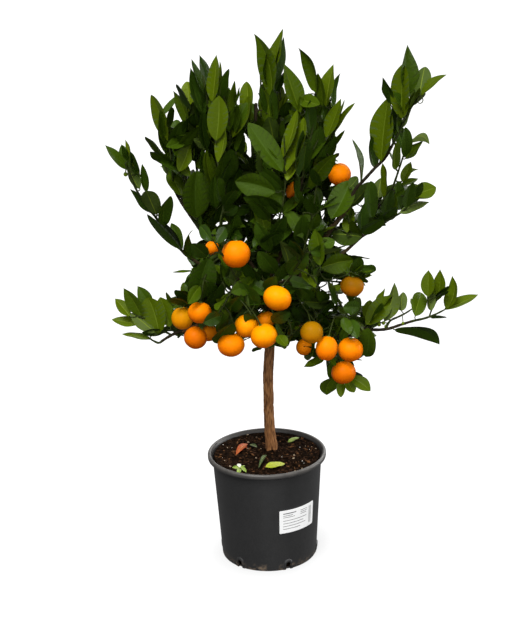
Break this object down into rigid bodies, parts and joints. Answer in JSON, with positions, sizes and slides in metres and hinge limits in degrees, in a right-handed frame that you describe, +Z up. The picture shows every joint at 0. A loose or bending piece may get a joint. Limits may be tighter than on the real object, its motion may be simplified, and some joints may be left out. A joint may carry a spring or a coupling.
{
  "type": "calamondin orange tree in a pot",
  "caption": "Small standard citrus tree in a round nursery pot: slim trunk, branching crown of pointed glossy leaves, small round orange fruit, soil and a bare label.",
  "frame": {"origin": "centre of the pot's flat underside", "axes": "+Z up along the pot's axis towards the crown, -Y towards the side with the label, +X towards the longest low spray"},
  "size_m": [0.4688, 0.378, 0.715],
  "materials": {
    "pot_plastic": "semi-matt moulded, lightly scuffed",
    "potting_soil": "matt, crumbly",
    "label_paper": "smooth, satin",
    "bark": "matt, finely fissured",
    "foliage": "waxy gloss above, paler and duller below",
    "green_twig": "satin, smooth young bark",
    "fruit_peel": "glossy, finely pitted"
  },
  "bodies": {
    "root": {"pot": "pot_plastic", "soil": "potting_soil", "label": "label_paper", "trunk": "bark", "bough_left": "bark", "bough_right": "bark", "bough_centre": "bark", "bough_back": "bark", "bough_front": "bark", "bough_lower_left": "bark", "bough_lower_right": "bark", "bough_left_arch": "bark", "bough_left_upright": "bark", "bough_right_upright": "bark", "bough_right_outer": "bark", "bough_right_side": "bark", "bough_back_left": "bark", "bough_back_right": "bark", "bough_back_arch": "bark", "bough_low_back": "bark", "bough_hanging": "bark", "bough_front_left": "bark", "bough_front_right": "bark", "bough_upper_front_left": "bark", "bough_upper_front_right": "bark", "spray_left_arch": "foliage", "spray_left_outer": "foliage", "spray_left_upright": "foliage", "spray_centre": "foliage", "spray_centre_front": "foliage", "spray_right_upright": "foliage", "spray_right_arch": "foliage", "spray_right_outer": "foliage", "spray_right_side": "foliage", "spray_lower_right": "foliage", "spray_lower_left": "foliage", "spray_hanging_right": "foliage", "inner_front_left": "foliage", "inner_front": "foliage", "inner_front_right": "foliage", "inner_right": "foliage", "inner_left": "foliage", "inner_back_left": "foliage", "inner_back_right": "foliage", "spray_front_left": "foliage", "spray_front_right": "foliage", "spray_upper_front_left": "foliage", "spray_upper_front_right": "foliage", "spray_back_left": "foliage", "spray_back_centre": "foliage", "spray_back_right": "foliage", "spray_back_arch": "foliage", "spray_low_back": "foliage"}
  },
  "joints": []
}
